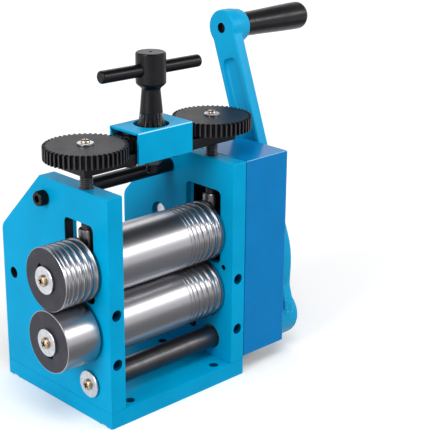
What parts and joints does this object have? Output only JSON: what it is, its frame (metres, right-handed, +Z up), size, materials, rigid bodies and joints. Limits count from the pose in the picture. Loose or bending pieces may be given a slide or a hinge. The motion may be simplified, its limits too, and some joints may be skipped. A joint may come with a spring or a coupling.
{
  "type": "rolling mill",
  "caption": "Hand-cranked bench rolling mill for flat sheet, half-round wire and strip, with grooved side rollers, geared height adjustment and a T-handle.",
  "frame": {"origin": "middle of the base plate's underside", "axes": "+Z up, +X along the roller axes towards the crank, -Y towards the front, where stock is fed in"},
  "size_m": [0.2343, 0.096, 0.2044],
  "materials": {
    "blue_paint": "glossy bright blue enamel",
    "black_oxide": "black oxide, satin",
    "polished_steel": "ground and polished",
    "dark_steel": "dark, as turned",
    "zinc": "light zinc plate",
    "brass": "yellow passivated",
    "bronze": "sintered bronze, oiled",
    "spring_steel": "drawn wire",
    "black_plastic": "satin black moulding"
  },
  "bodies": {
    "frame": {"base_plate": "blue_paint", "base_screw_1": "zinc", "base_screw_2": "zinc", "base_screw_3": "zinc", "base_screw_4": "zinc", "side_plate_left": "blue_paint", "side_plate_right": "blue_paint", "roller_bush_left": "bronze", "roller_bush_right": "bronze", "shaft_bush_left": "bronze", "shaft_bush_right": "bronze", "upper_tie_rod": "black_oxide", "tie_screw_left": "black_oxide", "tie_screw_right": "black_oxide", "gear_case": "blue_paint", "case_bush": "bronze", "cover_bolt": "zinc", "drive_idler_stud": "dark_steel"},
    "crank": {"drive_shaft": "black_oxide", "drive_pinion": "dark_steel", "shaft_washer": "zinc", "shaft_screw": "brass", "crank_arm": "blue_paint", "grip_bolt": "zinc"},
    "grip": {"crank_grip": "black_plastic"},
    "drive_idler": {"drive_idler_gear": "dark_steel"},
    "lower_roll": {"lower_roller": "polished_steel", "lower_side_roller": "polished_steel", "lower_side_key": "dark_steel", "lower_side_washer": "zinc", "lower_side_screw": "brass", "lower_roller_gear": "dark_steel", "driven_gear": "dark_steel"},
    "bearing_blocks": {"bearing_block_left": "black_oxide", "bearing_block_right": "black_oxide", "return_spring_left": "spring_steel", "return_spring_right": "spring_steel"},
    "upper_roll": {"upper_roller": "polished_steel", "upper_side_roller": "polished_steel", "upper_side_key": "dark_steel", "upper_side_washer": "zinc", "upper_side_screw": "brass", "upper_roller_gear": "dark_steel"},
    "carriage": {"link_plate": "black_oxide", "spindle_bracket": "blue_paint", "idler_pin_left": "dark_steel", "idler_pin_right": "dark_steel"},
    "left_idler": {"adjust_idler_left": "black_oxide"},
    "right_idler": {"adjust_idler_right": "black_oxide"},
    "left_screw": {"pressure_screw_left": "dark_steel", "adjust_gear_left": "black_oxide", "gear_washer_left": "zinc", "gear_screw_left": "brass"},
    "right_screw": {"pressure_screw_right": "dark_steel", "adjust_gear_right": "black_oxide", "gear_washer_right": "zinc", "gear_screw_right": "brass"},
    "t_handle": {"adjust_spindle": "black_oxide", "t_bar": "black_oxide", "spindle_nut": "dark_steel"}
  },
  "joints": [
    {"name": "crank_turn", "type": "hinge", "parent": "frame", "child": "crank", "pos_m": [0, -0.0305, 0.0218], "axis": [1, 0, 0], "continuous": true},
    {"name": "grip_spin", "type": "hinge", "parent": "crank", "child": "grip", "pos_m": [0.13, 0.0123, 0.1936], "axis": [1, 0, 0], "continuous": true},
    {"name": "drive_idler_turn", "type": "hinge", "parent": "frame", "child": "drive_idler", "pos_m": [0, -0.01462, 0.02627], "axis": [1, 0, 0], "continuous": true},
    {"name": "lower_roll_turn", "type": "hinge", "parent": "frame", "child": "lower_roll", "pos_m": [0, -0.025, 0.052], "axis": [1, 0, 0], "continuous": true},
    {"name": "bearing_slide", "type": "slide", "parent": "frame", "child": "bearing_blocks", "axis": [0, 0, 1], "range_m": [-0.0004, 0.0035], "deforming": ["return_spring_left", "return_spring_right"]},
    {"name": "upper_roll_turn", "type": "hinge", "parent": "bearing_blocks", "child": "upper_roll", "pos_m": [0, -0.025, 0.0875], "axis": [1, 0, 0], "continuous": true},
    {"name": "carriage_slide", "type": "slide", "parent": "frame", "child": "carriage", "axis": [0, 0, 1], "range_m": [-0.0004, 0.0035]},
    {"name": "handle_turn", "type": "hinge", "parent": "carriage", "child": "t_handle", "pos_m": [0, -0.025, 0.147], "axis": [0, 0, 1], "range_deg": [-345.7, 3024.1]},
    {"name": "left_screw_turn", "type": "hinge", "parent": "carriage", "child": "left_screw", "pos_m": [-0.045, -0.025, 0.147], "axis": [0, 0, 1], "range_deg": [-115.3, 1008.1]},
    {"name": "right_screw_turn", "type": "hinge", "parent": "carriage", "child": "right_screw", "pos_m": [0.045, -0.025, 0.147], "axis": [0, 0, 1], "range_deg": [-115.3, 1008.1]},
    {"name": "left_idler_turn", "type": "hinge", "parent": "carriage", "child": "left_idler", "pos_m": [-0.0153, -0.025, 0.147], "axis": [0, 0, 1], "range_deg": [-2688.1, 307.4]},
    {"name": "right_idler_turn", "type": "hinge", "parent": "carriage", "child": "right_idler", "pos_m": [0.0153, -0.025, 0.147], "axis": [0, 0, 1], "range_deg": [-2688.1, 307.4]}
  ],
  "couplings": [
    {"joint": "drive_idler_turn", "follows": "crank_turn", "ratio": -0.83333},
    {"joint": "lower_roll_turn", "follows": "crank_turn", "ratio": 0.4},
    {"joint": "upper_roll_turn", "follows": "crank_turn", "ratio": -0.4},
    {"joint": "bearing_slide", "follows": "carriage_slide", "ratio": 1},
    {"joint": "handle_turn", "follows": "carriage_slide", "rad_per_m": 15080},
    {"joint": "left_screw_turn", "follows": "carriage_slide", "rad_per_m": 5026.5},
    {"joint": "right_screw_turn", "follows": "carriage_slide", "rad_per_m": 5026.5},
    {"joint": "left_idler_turn", "follows": "carriage_slide", "rad_per_m": -13404},
    {"joint": "right_idler_turn", "follows": "carriage_slide", "rad_per_m": -13404}
  ]
}
